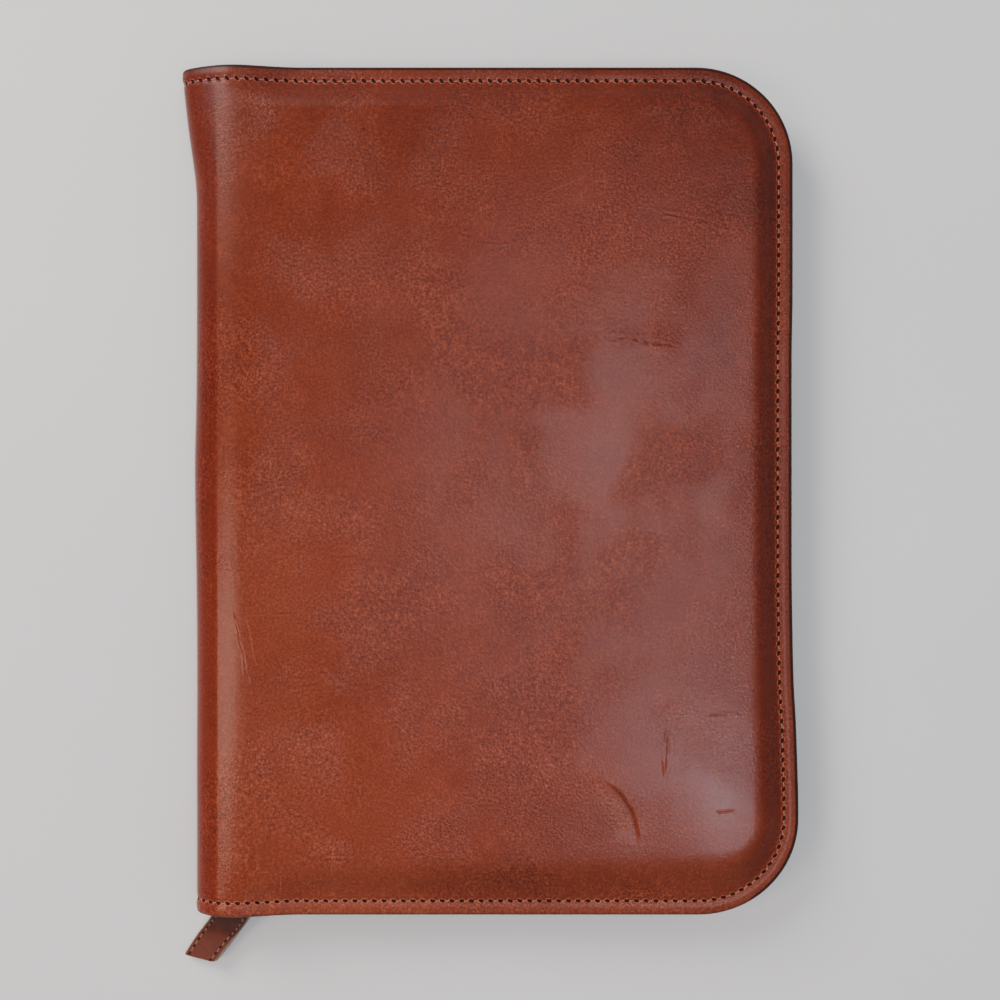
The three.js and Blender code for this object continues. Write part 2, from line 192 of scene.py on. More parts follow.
class Graph:
    """A node tree whose nodes all come from one method."""

    def __init__(self, tree):
        self.tree = tree

    def node(self, kind, settings=None, sockets=None, output=0):
        made = self.tree.nodes.new(kind)
        for name, value in (settings or {}).items():
            if name == "stops":
                self.set_stops(made.color_ramp, value)
            else:
                setattr(made, name, value)
        for name, value in (sockets or {}).items():
            if isinstance(value, Field):
                self.tree.links.new(value.socket, made.inputs[name])
            else:
                made.inputs[name].default_value = value
        return Field(self, made.outputs[output])

    def set_stops(self, ramp, stops):
        while len(ramp.elements) < len(stops):
            ramp.elements.new(1.0)
        for element, (place, colour) in zip(ramp.elements, stops):
            element.position = place
            element.color = (*colour, 1.0)

    def blend(self, share, low, high):
        """A colour between low and high."""
        low, high = [c if isinstance(c, Field) else (*c, 1.0) for c in (low, high)]
        return self.node("ShaderNodeMix", {"data_type": "RGBA"}, {0: share, 6: low, 7: high}, output=2)

    def tint(self, colour, other, share):
        """A colour multiplied by another one, as far as share says."""
        settings = {"data_type": "RGBA", "blend_type": "MULTIPLY"}
        return self.node("ShaderNodeMix", settings, {0: share, 6: colour, 7: (*other, 1.0)}, output=2)


class Finish(Graph):
    """A material on the Principled shader, with the pattern fields that the finishes share."""

    def __init__(self, name, roughness=0.5, metallic=0.0, **constants):
        self.material = bpy.data.materials.new(name)
        self.material.use_nodes = True
        super().__init__(self.material.node_tree)
        self.tree.nodes.clear()
        self.surface = self.tree.nodes.new("ShaderNodeBsdfPrincipled")
        self.surface.inputs["Roughness"].default_value = roughness
        self.surface.inputs["Metallic"].default_value = metallic
        for socket, value in constants.items():
            self.surface.inputs[socket.replace("_", " ")].default_value = value
        out = self.tree.nodes.new("ShaderNodeOutputMaterial")
        self.tree.links.new(self.surface.outputs[0], out.inputs[0])
        self.place = self.node("ShaderNodeTexCoord", output="Object")

    def axis(self, index):
        return self.node("ShaderNodeSeparateXYZ", {}, {0: self.place}, output=index)

    def attribute(self, name):
        vector = self.node("ShaderNodeAttribute", {"attribute_name": name}, output="Vector")
        return [self.node("ShaderNodeSeparateXYZ", {}, {0: vector}, output=i) for i in range(3)]

    def noise(self, size_mm, detail=2.0, roughness=0.5, distortion=0.0, place=None):
        sockets = {"Vector": place or self.place, "Scale": 1000.0 / size_mm, "Detail": detail,
                   "Roughness": roughness, "Distortion": distortion}
        return self.node("ShaderNodeTexNoise", {}, sockets)

    def cells(self, size_mm, feature="F1"):
        sockets = {"Vector": self.place, "Scale": 1000.0 / size_mm}
        return self.node("ShaderNodeTexVoronoi", {"feature": feature}, sockets)

    def stretched_place(self, x, y, z, turn=0.0):
        sockets = {0: self.place, "Rotation": (0.0, 0.0, turn), "Scale": (x, y, z)}
        return self.node("ShaderNodeMapping", {}, sockets)

    def bump(self, height_mm):
        """Sets the normal from a height in millimetres."""
        height = height_mm * MM
        normal = self.node("ShaderNodeBump", {}, {"Strength": 1.0, "Distance": 1.0, "Height": height})
        self.set("Normal", normal)

    def set(self, socket, value):
        self.tree.links.new(value.socket, self.surface.inputs[socket])


def plan_of(finish, x, y):
    """A place in plan as a vector of x, y and 1, so that a dot product with it can add a constant."""
    return finish.node("ShaderNodeCombineXYZ", {}, {0: x, 1: y, 2: 1.0})


def line_parts(finish, plan, start, end):
    """Distance in millimetres to a line in plan, and the share of the way from its start to its end."""
    dx, dy = end[0] - start[0], end[1] - start[1]
    length = math.hypot(dx, dy)
    ahead = (dx / length ** 2, dy / length ** 2, -(start[0] * dx + start[1] * dy) / length ** 2)
    aside = (-dy / length, dx / length, (start[0] * dy - start[1] * dx) / length)
    share, off = [
        finish.node("ShaderNodeVectorMath", {"operation": "DOT_PRODUCT"}, {0: plan, 1: line}, output="Value")
        for line in (ahead, aside)
    ]
    return off.math("ABSOLUTE"), share


# Spots where the hide is lighter or darker, partly dye and partly painted light (a painted reflection high
# in the middle, painted shade low down): middle, reach across and along, and how much darker
DYE_SHADE_AND_GLOW_SPOTS = (
    ((28, 88), (60, 48), -0.20),
    ((92, 141), (45, 70), 0.14),
    ((100, 50), (26, 80), 0.10),
    ((-68, -125), (75, 65), -0.12),
    ((15, -160), (95, 20), 0.20),
    ((-20, 150), (110, 30), 0.05),
)

# The hide's colour from light to dark, as the dye and the painted spots make it
DYE_STOPS = (
    (0.1, (0.190, 0.0310, 0.0112)),
    (0.38, (0.152, 0.0224, 0.0074)),
    (0.62, (0.126, 0.0166, 0.0054)),
    (0.9, (0.080, 0.0090, 0.0032)),
)

# Creases and wrinkles of the front cover, in millimetres from its middle: start, end, width and depth
CREASES = (
    ((-17.8, 106.2), (7.1, 100.0), 1.3, 0.10),
    ((61.0, 116.6), (102.5, 106.0), 1.2, 0.10),
    ((44.0, 62.0), (56.0, 63.0), 1.6, 0.12),
    ((53.0, 63.0), (77.6, 59.0), 1.8, 0.16),
    ((71.4, -95.0), (70.2, -118.0), 1.1, 0.06),
    ((72.5, -84.0), (71.6, -90.0), 1.0, 0.06),
    ((85.9, -90.9), (102.5, -91.6), 0.9, 0.05),
    ((90.0, -131.0), (103.5, -130.4), 0.9, 0.05),
    ((-98.8, -28.6), (-84.2, -27.2), 1.1, 0.10),
    ((-107.0, -46.0), (-97.0, -88.0), 1.0, 0.06),
    ((-63.0, -110.5), (-57.0, -110.0), 0.8, 0.08),
    ((-109.5, -160.0), (-107.5, -163.5), 1.2, 0.16),
)
CREASE_DEPTH = 0.16
OFF_CREASE = 9.0

# Fine light scratches and dark specks of the front cover
SCRATCHES = (
    ((108.5, -139.0), (117.5, -133.5)),
    ((-86.5, -156.0), (-87.5, -166.0)),
    ((-64.5, -140.0), (-66.5, -160.0)),
    ((-101.0, -50.0), (-96.0, -74.0)),
    ((20.0, 121.0), (37.0, 128.0)),
)
SPECKS = ((80.0, 10.0), (100.2, -114.8), (106.5, -81.6), (-53.0, 148.0), (14.0, -64.0))

# A deep fold low on the cover: an arc's middle and radius, how high it runs, and its depth
FOLD_MIDDLE = (30.0, -143.0)
FOLD_RADIUS = 28.0
FOLD_SPAN = (-143.0, -118.0)
FOLD_DEPTH = 0.34


def fold_parts(x, y):
    """The fold's height, a long slope down to its arc and a short one up, its crease for painted shade and
    its painted sheen.
    """
    off_x, off_y = x - FOLD_MIDDLE[0], y - FOLD_MIDDLE[1]
    past = (off_x * off_x + off_y * off_y).root() - FOLD_RADIUS
    ends = y.step(FOLD_SPAN[0] - 2, FOLD_SPAN[0] + 6) * y.step(FOLD_SPAN[1] + 2, FOLD_SPAN[1] - 8)
    ends = ends * off_x.step(8, 16)
    height = past.step(-12, 0.4) * past.step(2.4, 0.4) * ends * -FOLD_DEPTH
    crease = past.step(-0.4, 0.5) * past.step(1.7, 0.7) * ends
    painted_sheen = past.step(-11, -4) * past.step(0.2, -1.5) * ends
    return height, crease, painted_sheen


def needle_holes(along, off, lean, length, width, pitch):
    """Masks of the needle holes and of the raised lips round them, for relief and for painted shade and
    highlight; lean is a cosine and a sine.
    """
    run = ((along / pitch).math("FRACT") - 0.5) * pitch
    cosine, sine = lean
    major = (run * cosine + off * sine) / (length / 2)
    minor = (off * cosine - run * sine) / (width / 2)
    ring = (major * major + minor * minor).root()
    return ring.step(1.15, 0.75), ring.step(0.9, 1.3) * ring.step(2.1, 1.4)


def dye_colour(leather, x, y, cloudy, fine):
    """The hide's chestnut, mottled and darker towards the right and the top, with spots of dye, painted
    shade and painted reflection.
    """
    broad = leather.noise(75, detail=3, roughness=0.55, distortion=0.4) - 0.5
    right = (x / WIDTH + 0.5).clamped()
    high = (y / HEIGHT + 0.5).clamped()
    depth = broad * 0.5 + cloudy * 0.5 + (fine - 0.5) * 0.3 + right * 0.2 + high * 0.36 + 0.12
    # Each spot darkens or lightens the hide: the low dark band is painted shade, the light spot high in the
    # middle a painted reflection, the others dye
    for (spot_x, spot_y), (reach_x, reach_y), darker in DYE_SHADE_AND_GLOW_SPOTS:
        off_x, off_y = (x - spot_x) / reach_x, (y - spot_y) / reach_y
        depth = (off_x * off_x + off_y * off_y).root().step(1.0, 0.0) * darker + depth
    return leather.node("ShaderNodeValToRGB", {"stops": DYE_STOPS}, {0: depth.clamped()})


def crease_depths(leather, plan):
    """How deep the creases run, each an uneven valley between two low ridges.

    One profile serves the nearest crease. Its distance is in widths, and grows towards the crease's
    ends and for a shallow one, so that both fade.
    """
    uneven = leather.noise(3.2, detail=1).step(0.36, 0.6)
    nearest = OFF_CREASE
    for start, end, width, crease_depth in CREASES:
        distance, share = line_parts(leather, plan, start, end)
        middle = share - 0.5
        squared = middle * middle
        faded = (squared * squared).math("MULTIPLY_ADD", 35.0, (1 - crease_depth / CREASE_DEPTH) * 0.8)
        nearest = distance.math("MULTIPLY_ADD", 1 / width, faded).math("MINIMUM", nearest)
    ridge = nearest.step(2.2, 1.2) * nearest.step(0.6, 1.2)
    return (nearest.step(0.75, 0.0) - ridge * 0.35) * uneven * CREASE_DEPTH


def marked(leather, colour, plan):
    """The colour with its light scratches and dark specks."""
    for start, end in SCRATCHES:
        distance, share = line_parts(leather, plan, start, end)
        scratch = distance.step(0.5, 0.1) * share.step(0.0, 0.3) * share.step(1.0, 0.7)
        colour = leather.tint(colour, (1.5, 1.9, 2.1), scratch * 0.7)
    for speck in SPECKS:
        ends = {0: plan, 1: (*speck, 1.0)}
        distance = leather.node("ShaderNodeVectorMath", {"operation": "DISTANCE"}, ends, output="Value")
        colour = leather.tint(colour, (0.3, 0.22, 0.2), distance.step(0.75, 0.2) * 0.85)
    return colour


def hide_finish(name):
    """Glossy chestnut aniline leather: mottled colour, fine pores, creases, needle holes, burnished edge."""
    leather = Finish(name, roughness=0.4, Specular_IOR_Level=0.25)
    x, y = [leather.axis(i) * 1000.0 for i in (0, 1)]
    along, inset, rim = leather.attribute("seam")
    cloudy = leather.noise(24, detail=4, roughness=0.6, distortion=0.6) - 0.5
    fine = leather.noise(5, detail=4, roughness=0.65)
    colour = dye_colour(leather, x, y, cloudy, fine)

    # The grain lies in patches, and is rubbed smooth near the spine and low on the zip side
    zone = leather.noise(34, detail=2, roughness=0.6).step(0.4, 0.64) * 0.55 + 0.45
    worn = 1.0 - (x.step(20, 90) * y.step(20, -100) * 0.7 + x.step(SPINE_X + 22, SPINE_X + 6) * 0.6)
    grain = leather.noise(1.05, detail=3, roughness=0.65)
    pits = grain.step(0.49, 0.36) * zone
    lights = grain.step(0.52, 0.65) * zone
    pores = leather.cells(1.5).step(0.34, 0.16) * zone
    wrinkled = leather.noise(30, detail=1).step(0.5, 0.62)
    lines_place = leather.stretched_place(1.0, 0.45, 1.0, turn=math.radians(32))
    lines = leather.noise(2.6, detail=2, roughness=0.6, place=lines_place) - 0.5
    lines = lines.math("ABSOLUTE").step(0.04, 0.0) * wrinkled
    height = grain * zone * worn * 0.26
    colour = leather.tint(colour, (0.58, 0.45, 0.40), (pits * 0.9 + pores * 0.5).clamped())
    colour = leather.tint(colour, (1.6, 2.05, 2.3), lights * 0.9)
    on_spine = x.step(SPINE_X + 0.5, SPINE_X - 2.0)
    colour = leather.tint(colour, (0.78, 0.52, 0.41), on_spine)
    colour = leather.tint(colour, (1.45, 1.75, 1.9), lines * 0.7)

    # Creases, the fold and small marks wander a little off their straight lines
    wobble = (leather.noise(8, detail=4, roughness=0.6) - 0.5) * 3.4
    folds = crease_depths(leather, plan_of(leather, x + wobble, y + wobble))
    fold, crease, painted_sheen = fold_parts(x, y)
    height = height - folds + fold
    # Painted shade darkens the creases and the fold's arc, and a painted highlight lightens the slope beside
    # the fold
    colour = leather.tint(colour, (0.50, 0.40, 0.38), (folds * 3.0 + crease * 0.45).clamped())
    colour = leather.tint(colour, (1.2, 1.7, 2.1), painted_sheen * 0.7)

    colour = marked(leather, colour, plan_of(leather, x + wobble * 0.4, y))

    # The slope at the zip side and the head is darkened, partly a darker stain and partly painted shade, and
    # the flange is streaked
    rise = leather.node("ShaderNodeAttribute", {"attribute_name": "rise"}, output="Fac")
    slope = rise.step(0.0, 0.1) * rise.step(0.9, 0.55)
    stain_and_shade = x.step(WIDTH / 2 - 26, WIDTH / 2 - 13) + y.step(HEIGHT / 2 - 34, HEIGHT / 2 - 18) * 0.5
    colour = leather.tint(colour, (0.72, 0.50, 0.42), stain_and_shade.clamped() * slope * 0.9)
    # The tail's flange is lightened and cooled: a painted highlight
    tail_flange_highlight = y.step(CORNER - HEIGHT / 2, -HEIGHT / 2) * inset.step(SEAM_INSET + 0.3, SEAM_INSET - 0.7)
    colour = leather.tint(colour, (1.12, 1.3, 1.5), tail_flange_highlight)
    streaks_place = leather.node("ShaderNodeCombineXYZ", {}, {0: along * 0.001, 1: inset * 0.0002})
    streaks = leather.noise(1.3, detail=1, place=streaks_place)
    on_flange = inset.step(SEAM_INSET - 0.4, SEAM_INSET - 1.2)
    height = height + streaks * on_flange * 0.08

    # The needle holes lean more at the head
    at_head = y.step(HEIGHT / 2 - 12, HEIGHT / 2 - 8)
    angle = at_head * HOLE_LEAN_AT_HEAD + HOLE_LEAN
    lean = (angle.math("COSINE"), angle.math("SINE"))
    hole, lip = needle_holes(along, inset - SEAM_INSET, lean, HOLE_LENGTH, HOLE_WIDTH, STITCH_PITCH)
    height = height + lip * 0.2 - hole * 0.7
    # A painted highlight lightens the lips, and painted shade darkens the holes
    colour = leather.tint(colour, (1.9, 2.7, 3.1), lip * 0.7)
    colour = leather.tint(colour, (0.12, 0.05, 0.05), hole)

    # The edge is burnished dark, and the flesh side is bare
    tail_edge = y.step(10 - HEIGHT / 2, 2 - HEIGHT / 2)
    burnish = (inset + (fine - 0.5) * 0.5 + tail_edge * 1.4).step(2.0, 1.3)
    edge = leather.blend(fine, (0.014, 0.0025, 0.0015), (0.040, 0.0070, 0.0040))
    colour = leather.blend((burnish + rim.clamped()).clamped(), colour, edge)
    flesh = (rim * -1.0).clamped()
    colour = leather.blend(flesh, colour, leather.blend(fine, (0.075, 0.035, 0.018), (0.12, 0.06, 0.034)))

    corner = x.step(SPINE_X + 26, SPINE_X + 4) * y.step(40, 140)
    open_share = 1.0 - slope * 0.75 - on_flange * 0.5 - corner * 0.6
    polish = (1.0 - pores * 0.5) * (cloudy * 0.5 + 0.92) * open_share
    roughness = 0.37 - polish * 0.18 + hole * 0.5 + folds.clamped() * 0.4 + flesh * 0.4 + slope * 0.12
    leather.set("Base Color", colour)
    leather.set("Roughness", roughness.clamped())
    leather.bump(height)
    return leather.material


def smooth_read(table, at, reach):
    """Reads a table of shares with its corners rounded over reach."""
    offsets = np.linspace(-reach, reach, 9)
    weights = 1 + np.cos(np.pi * offsets / (reach * 1.2))
    reads = [np.interp(np.asarray(at) + o, table[0], table[1]) * w for o, w in zip(offsets, weights)]
    return np.sum(reads, axis=0) / weights.sum()


def smoothstep(share):
    share = np.clip(share, 0, 1)
    return share * share * (3 - 2 * share)


def wave_noise(x, y, size, seed, count=7):
    """A smooth random surface between about -1 and 1, made of crossed waves."""
    rng = np.random.default_rng(seed)
    total = np.zeros_like(x)
    for _ in range(count):
        angle = rng.uniform(0, math.tau)
        length = size * rng.uniform(0.7, 1.6)
        phase = rng.uniform(0, math.tau)
        total += np.sin((x * math.cos(angle) + y * math.sin(angle)) * math.tau / length + phase)
    return total / math.sqrt(count)


# Soft dents and swells of the front cover: place, radius across and along, height, all in millimetres
SWELLS = (
    (93, -124, 22, 34, 0.26),
    (48, -130, 8, 14, 0.13),
    (60, 20, 30, 9, 0.16),
    (52, 82, 12, 20, 0.16),
    (-60, -100, 34, 40, 0.30),
    (-40, 60, 40, 34, -0.25),
)


def cover_relief(x, y):
    """How far the front cover swells or sinks from its plain form."""
    relief = 0.09 * wave_noise(x, y, 85, seed=3) + 0.035 * wave_noise(x, y, 34, seed=8)
    for cx, cy, rx, ry, height in SWELLS:
        relief += height * np.exp(-(((x - cx) / rx) ** 2 + ((y - cy) / ry) ** 2))
    return relief


def seam_relief(inset):
    """The groove that the stitches pull into the hide, and the soft pillow between it and the edge."""
    groove = SEAM_SINK * np.exp(-((inset - SEAM_INSET) / 0.75) ** 2)
    return PILLOW_RISE * np.exp(-((inset - PILLOW_INSET) / 1.2) ** 2) - groove


class Hide:
    """The leather form in plan and height, in millimetres."""

    def inset_rows(self, climb):
        flange = np.array([NOSE, 2.1, 3.0, 4.1, 5.2, 5.65, SEAM_INSET, 6.5])
        return np.concatenate([flange, FLANGE + climb * CLIMB_ROWS])

    def level(self, inset, climb):
        return smooth_read(CLIMB, (inset - FLANGE) / climb, 0.3)

    def lift(self, x):
        return 1 - smoothstep((x - SPINE_X) / SPINE_LIFT)

    def stretched(self, x, y):
        pull = np.clip(x / (WIDTH / 2), 0, None) ** 2
        return x + ZIP_BULGE * smooth_read(ZIP_OUTLINE, y / HEIGHT + 0.5, 0.03) * pull

    def outer(self, x, y, inset, climb, front):
        up = self.level(inset, climb)
        level = 1 - (1 - up) * (1 - self.lift(x))
        half = SHELL_HALF - PANEL_RISE * (1 - level)
        shoulder = SHOULDER_DROP * np.clip((SPINE_X + SHOULDER - x) / SHOULDER, 0, 1) ** 2.5
        half = half + seam_relief(inset) - shoulder
        if not front:
            return MID - half
        across = (2 * x - SPINE_X - WIDTH / 2) / (WIDTH / 2 - SPINE_X)
        crown = CROWN * np.clip(1 - across ** 2, 0, 1) * np.clip(1 - (2 * y / HEIGHT) ** 2, 0, 1)
        return MID + half + up * (crown + cover_relief(x, y) * self.inner_share(x))

    def inner_share(self, x):
        return smoothstep((x - SPINE_X) / 18)


HIDE = Hide()


def seam_lengths(x_run, turn, y_side):
    """Lengths along the front seam at a place on the head's run, its corner's turn and the zip side."""
    run = CORNER_X - SPINE_X
    arc = (CORNER - SEAM_INSET) * math.pi / 2
    return run - (CORNER_X - x_run) + turn * arc + (CORNER_Y - y_side)


def hide_lines():
    """Lines over one cover from head to tail, from the spine to the zip side.

    Each has its places in plan, insets from the edge, widths of the slope and lengths along the seam.
    The second value is the seam's length on one cover.
    """
    run = np.linspace(SPINE_X, CORNER_X, RUN_STEPS + 1)
    stations = [(x, HEIGHT / 2, 0.0, 1.0, x, 0.0) for x in run]
    for i in range(1, ARC_STEPS + 1):
        turn = i / ARC_STEPS
        out_x, out_y = math.sin(turn * math.pi / 2), math.cos(turn * math.pi / 2)
        stations.append((CORNER_X + CORNER * out_x, CORNER_Y + CORNER * out_y, out_x, out_y, CORNER_X, turn))
    front_length = 2 * seam_lengths(CORNER_X, 1.0, 0.0)
    shares = np.linspace(0, 1, ROW_STEPS + 1)[1:-1]
    lines = []
    for sx, sy, out_x, out_y, x_run, turn in stations:
        head_climb, tail_climb = [c + (SIDE_CLIMB - c) * smoothstep(turn) for c in (HEAD_CLIMB, TAIL_CLIMB)]
        head_rows, tail_rows = HIDE.inset_rows(head_climb), HIDE.inset_rows(tail_climb)
        head = np.stack([sx - out_x * head_rows, sy - out_y * head_rows], axis=1)
        tail = np.stack([sx - out_x * tail_rows, -sy + out_y * tail_rows], axis=1)[::-1]
        inner = head[-1] + (tail[0] - head[-1]) * shares[:, None]
        plan = np.concatenate([head, inner, tail])
        inset = np.concatenate([head_rows, np.full(len(shares), FAR_INSET), tail_rows[::-1]])
        climb = np.interp(plan[:, 1], [-HEIGHT / 2, HEIGHT / 2], [tail_climb, head_climb])
        head_along = seam_lengths(x_run, turn, CORNER_Y)
        along = np.where(plan[:, 1] > 0, head_along, front_length - head_along)
        lines.append((plan, inset, climb, along))
    return lines, front_length


def zip_strip(lines):
    """The strip beside the zip side's straight edge, from the edge inwards, one row for each step down."""
    plan, inset, climb, along = lines[-1]
    row_inset = HIDE.inset_rows(SIDE_CLIMB)
    count = len(row_inset)
    rows = [(plan[:count], inset[:count], climb[:count], along[:count])]
    for k in range(count, len(plan) - count):
        y = plan[k, 1]
        row_plan = np.stack([WIDTH / 2 - row_inset, np.full(count, y)], axis=1)
        length = np.full(count, seam_lengths(CORNER_X, 1.0, y))
        rows.append((row_plan, row_inset, np.full(count, SIDE_CLIMB), length))
    rows.append(tuple(part[-count:][::-1] for part in (plan, inset, climb, along)))
    return rows


def cover_grid(rows, front, back_end=0.0):
    """Places and seam values of a grid of lines on one cover; the back's lengths run down from back_end."""
    places, seams = [], []
    for plan, inset, climb, along in rows:
        along = along if front else back_end - along
        x, y = plan[:, 0], plan[:, 1]
        z = HIDE.outer(x, y, inset, climb, front)
        places.append(np.stack([HIDE.stretched(x, y), y, z], axis=1))
        rise = 1 - (1 - np.clip((inset - FLANGE) / climb / CLIMB_ROWS[-1], 0, 1)) * (1 - HIDE.lift(x))
        seams.append(np.stack([along, inset, np.zeros_like(inset), rise], axis=1))
    return np.array(places), np.array(seams)


def spine_grid(line, front_length):
    """Places and seam values of the lines round the spine, from front to back, and the seam's run there."""
    plan, inset, _, _ = line
    y = plan[:, 1]
    flare = HEAD_FLARE * smooth_read(SPINE_OUTLINE, y / HEIGHT + 0.5, 0.035)
    depth = SPINE_DEPTH + flare + seam_relief(inset)
    half = SHELL_HALF - SHOULDER_DROP + seam_relief(inset)
    angles = np.linspace(0, math.pi, SPINE_STEPS + 1)
    round_length = math.pi / 2 * (SPINE_DEPTH + SHELL_HALF)
    places, seams = [], []
    for angle in angles[1:-1]:
        sine, cosine = math.sin(angle), math.cos(angle)
        power = 1 + SPINE_EDGE * cosine ** 2
        ripple = 0.12 * wave_noise(y * 0.6, np.full_like(y, angle * 12), 40, seed=5)
        x = SPINE_X - (depth + ripple * sine) * sine ** power
        z = MID + half * math.copysign(abs(cosine) ** power, cosine)
        share = angle / math.pi
        tail_along = front_length + share * round_length
        head_along = -share * round_length
        along = np.where(y > 0, head_along, tail_along)
        places.append(np.stack([x, y, z], axis=1))
        seams.append(np.stack([along, inset, np.zeros_like(inset), np.ones_like(inset)], axis=1))
    return np.array(places), np.array(seams), round_length


def grid_quads(rows, columns, offset):
    start = np.arange(rows - 1)[:, None] * columns + np.arange(columns - 1)[None, :] + offset
    start = start.reshape(-1)
    return np.stack([start, start + columns, start + columns + 1, start + 1], axis=1)


def make_object(name, mesh_or_bmesh, material):
    mesh = mesh_or_bmesh
    if isinstance(mesh_or_bmesh, bmesh.types.BMesh):
        mesh = bpy.data.meshes.new(name)
        mesh_or_bmesh.to_mesh(mesh)
        mesh_or_bmesh.free()
    mesh.materials.clear()
    mesh.materials.append(material)
    made = bpy.data.objects.new(name, mesh)
    bpy.context.scene.collection.objects.link(made)
    return made


def merged_sheet(grids):
    """Joins grids of places into one sheet with shared corners; returns places, values and quads."""
    places = np.concatenate([g[0].reshape(-1, 3) for g in grids])
    seams = np.concatenate([g[1].reshape(-1, 4) for g in grids])
    quads, offset = [], 0
    for grid, _ in grids:
        quads.append(grid_quads(grid.shape[0], grid.shape[1], offset))
        offset += grid.shape[0] * grid.shape[1]
    quads = np.concatenate(quads)
    keys = np.round(places, 4)
    _, first, back = np.unique(keys, axis=0, return_index=True, return_inverse=True)
    return places[first], seams[first], back.reshape(-1)[quads]


def vertex_normals(places, quads):
    corners = places[quads]
    facing = np.cross(corners[:, 2] - corners[:, 0], corners[:, 3] - corners[:, 1])
    normals = np.zeros_like(places)
    for k in range(4):
        np.add.at(normals, quads[:, k], facing)
    return normals / np.linalg.norm(normals, axis=1)[:, None]


def thickened(places, seams, quads):
    """Gives an open sheet an inner wall and a rounded rim; the rim's seam values mark it."""
    normals = vertex_normals(places, quads)
    count = len(places)
    edges = {}
    for quad in quads.tolist():
        for k in range(4):
            edges[(quad[k], quad[(k + 1) % 4])] = True
    after = {a: b for a, b in edges if (b, a) not in edges}
    before = {b: a for a, b in after.items()}
    all_places = [places, places - normals * WALL]
    inner_seams = seams * (1, 0, 0, 0) + (0, FAR_INSET, -1.0, 0)
    all_seams = [seams, inner_seams]
    rim_rows = {}
    extra_places, extra_seams = [], []
    for i, j in after.items():
        direction = places[j] - places[before[i]]
        out = np.cross(direction, normals[i])
        out /= np.linalg.norm(out)
        row = [i]
        for k in range(1, RIM_STEPS + 1):
            angle = math.pi * k / (RIM_STEPS + 1)
            middle = places[i] - normals[i] * (WALL / 2) * (1 - math.cos(angle))
            row.append(2 * count + len(extra_places))
            extra_places.append(middle + out * NOSE * math.sin(angle))
            extra_seams.append((seams[i, 0], NOSE * (1 - math.sin(angle)), smoothstep(angle / 1.2), 0.0))
        row.append(i + count)
        rim_rows[i] = row
    faces = quads.tolist() + (quads[:, ::-1] + count).tolist()
    for i, j in after.items():
        a, b = rim_rows[i], rim_rows[j]
        faces += [(b[k], a[k], a[k + 1], b[k + 1]) for k in range(len(a) - 1)]
    all_places = np.concatenate([*all_places, np.array(extra_places)])
    all_seams = np.concatenate([*all_seams, np.array(extra_seams)])
    return all_places, all_seams, faces, normals


def make_hide(material):
    """The one hide: front cover, spine and back cover, with the seam's lengths on its vertices."""
    lines, front_length = hide_lines()
    back_lines = lines[:RUN_STEPS + 1:3] + [lines[RUN_STEPS]] + lines[RUN_STEPS + 2::2]
    strip = zip_strip(lines)
    spine_places, spine_seams, round_length = spine_grid(lines[0], front_length)
    back_end = 2 * front_length + round_length
    front = cover_grid(lines[::-1], True)
    back = cover_grid(back_lines, False, back_end)
    front_strip = cover_grid(strip, True)
    grids = [
        tuple(np.concatenate(parts) for parts in zip(front, (spine_places, spine_seams), back)),
        tuple(part[:, ::-1] for part in front_strip),
        cover_grid(strip, False, back_end),
    ]
    places, seams, quads = merged_sheet(grids)
    seams[:, 0] = measured_lengths(places, seams)
    all_places, all_seams, faces, normals = thickened(places, seams, quads)
    mesh = bpy.data.meshes.new("hide")
    mesh.from_pydata((all_places * MM).tolist(), [], faces)
    attribute = mesh.attributes.new("seam", "FLOAT_VECTOR", "POINT")
    attribute.data.foreach_set("vector", all_seams[:, :3].astype(np.float32).reshape(-1))
    attribute = mesh.attributes.new("rise", "FLOAT", "POINT")
    attribute.data.foreach_set("value", all_seams[:, 3].astype(np.float32))
    mesh.shade_smooth()
    hide = make_object("hide", mesh, material)
    return hide, (places, seams, normals)


def measured_lengths(places, seams):
    """Lengths along the seam measured on the surface, scaled to a whole number of stitches."""
    on_seam = np.abs(seams[:, 1] - SEAM_INSET) < 0.01
    order = np.argsort(seams[on_seam, 0])
    route = places[on_seam][order]
    steps = np.linalg.norm(np.roll(route, -1, axis=0) - route, axis=1)
    total = steps.sum()
    whole = round(total / STITCH_PITCH) * STITCH_PITCH
    lengths = np.concatenate([[0.0], np.cumsum(steps[:-1])]) * whole / total
    return np.interp(seams[:, 0], seams[on_seam, 0][order], lengths)


def seam_path(places, seams, normals):
    """The seam's closed route over the hide, the hide's facing at each place, and the route's length."""
    on_seam = np.abs(seams[:, 1] - SEAM_INSET) < 0.01
    order = np.argsort(seams[on_seam, 0])
    return places[on_seam][order], normals[on_seam][order], seams[on_seam, 0].max()


def path_mesh(name, places, facings, closed):
    mesh = bpy.data.meshes.new(name)
    count = len(places)
    edges = [(i, i + 1) for i in range(count - 1)] + ([(count - 1, 0)] if closed else [])
    mesh.from_pydata((places * MM).tolist(), edges, [])
    attribute = mesh.attributes.new("facing", "FLOAT_VECTOR", "POINT")
    attribute.data.foreach_set("vector", facings.astype(np.float32).reshape(-1))
    made = bpy.data.objects.new(name, mesh)
    bpy.context.scene.collection.objects.link(made)
    return made


